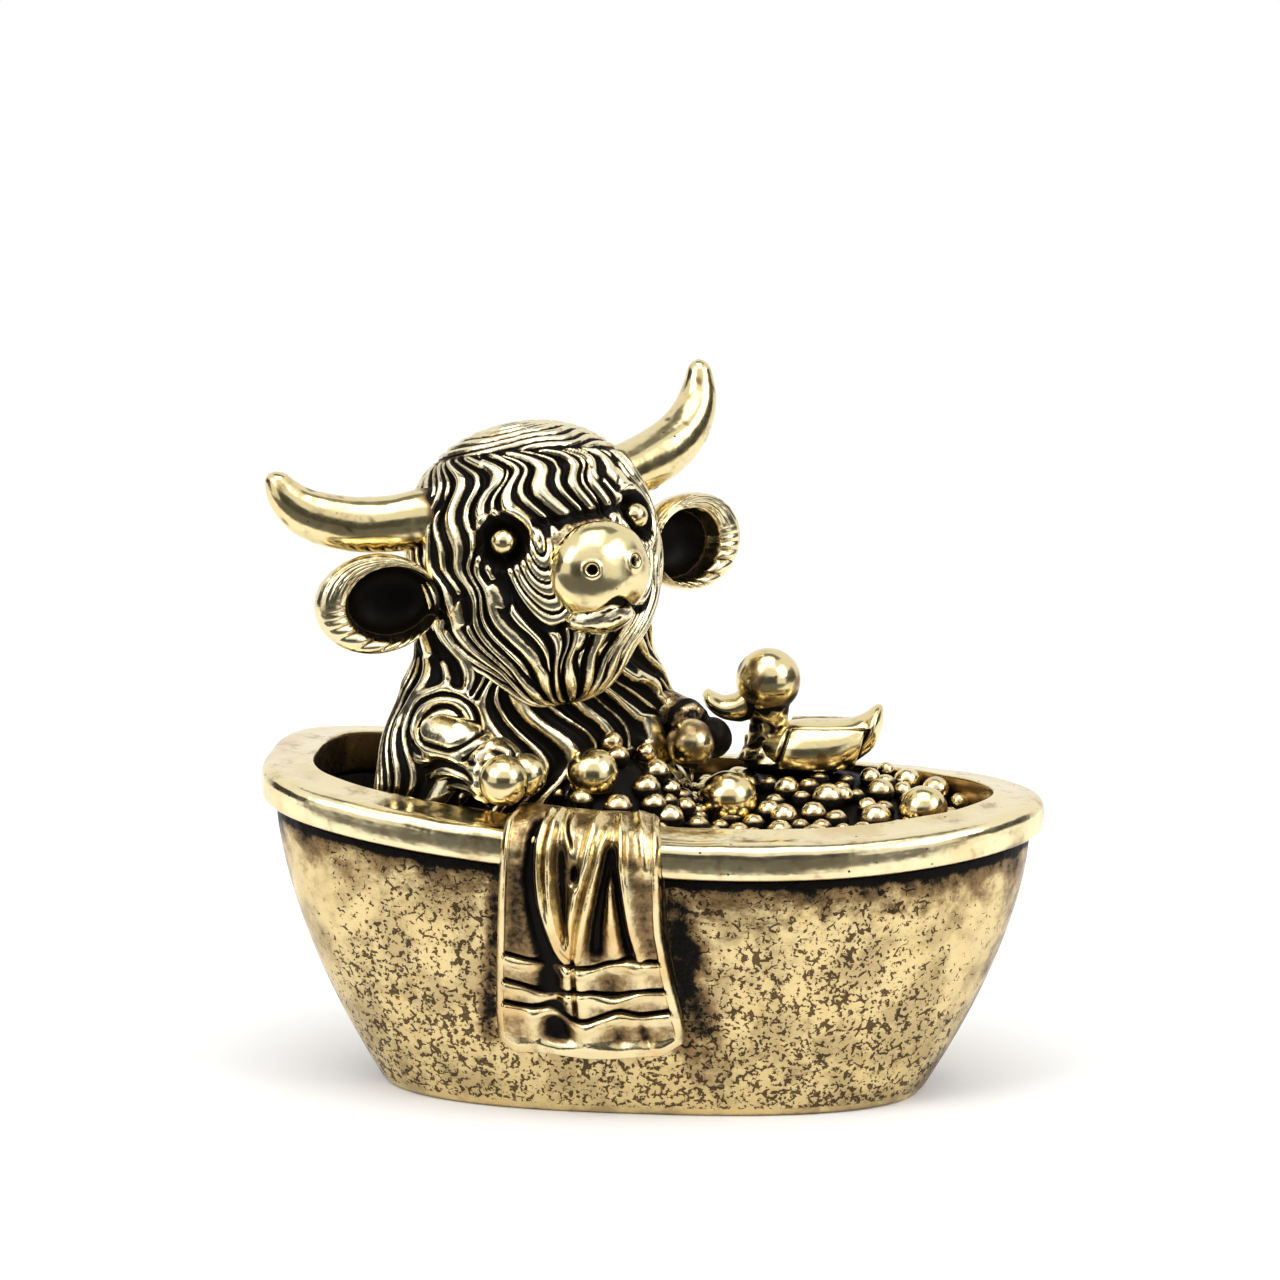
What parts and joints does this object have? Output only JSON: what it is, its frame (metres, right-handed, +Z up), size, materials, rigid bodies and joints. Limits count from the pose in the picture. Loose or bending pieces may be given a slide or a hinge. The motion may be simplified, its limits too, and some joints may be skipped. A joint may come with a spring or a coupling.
{
  "type": "brass cow figurine",
  "caption": "Antiqued brass ornament of a shaggy highland cow sitting in a bathtub full of foam, with a toy duck afloat and a towel hung over the rim.",
  "frame": {"origin": "middle of the tub's flat foot", "axes": "+X along the tub away from the cow's end, +Y away from the side the towel hangs on, +Z up"},
  "size_m": [0.038, 0.0213, 0.0344],
  "materials": {
    "worn_brass": "satin, pitted and worn, with dark patina in the pits",
    "rim_brass": "polished, with a few pits",
    "towel_brass": "antiqued: folds polished, creases black",
    "foam_brass": "antiqued: bubbles polished, hollows black",
    "coat_brass": "antiqued: locks polished, furrows black",
    "polished_brass": "polished"
  },
  "bodies": {
    "root": {"tub": "worn_brass", "tub_rim": "rim_brass", "towel": "towel_brass", "foam": "foam_brass", "bubble_1": "polished_brass", "bubble_2": "polished_brass", "bubble_3": "polished_brass", "cow_trunk": "coat_brass", "cow_head": "coat_brass", "cow_muzzle": "polished_brass", "cow_lower_lip": "polished_brass", "horn_left": "polished_brass", "horn_right": "polished_brass", "ear_left": "coat_brass", "ear_right": "coat_brass", "eye_left": "polished_brass", "eye_right": "polished_brass", "foreleg_left": "coat_brass", "foreleg_right": "coat_brass", "hoof_left": "polished_brass", "hoof_right": "polished_brass", "duck_body": "polished_brass", "duck_head": "polished_brass", "duck_bill": "polished_brass"}
  },
  "joints": []
}
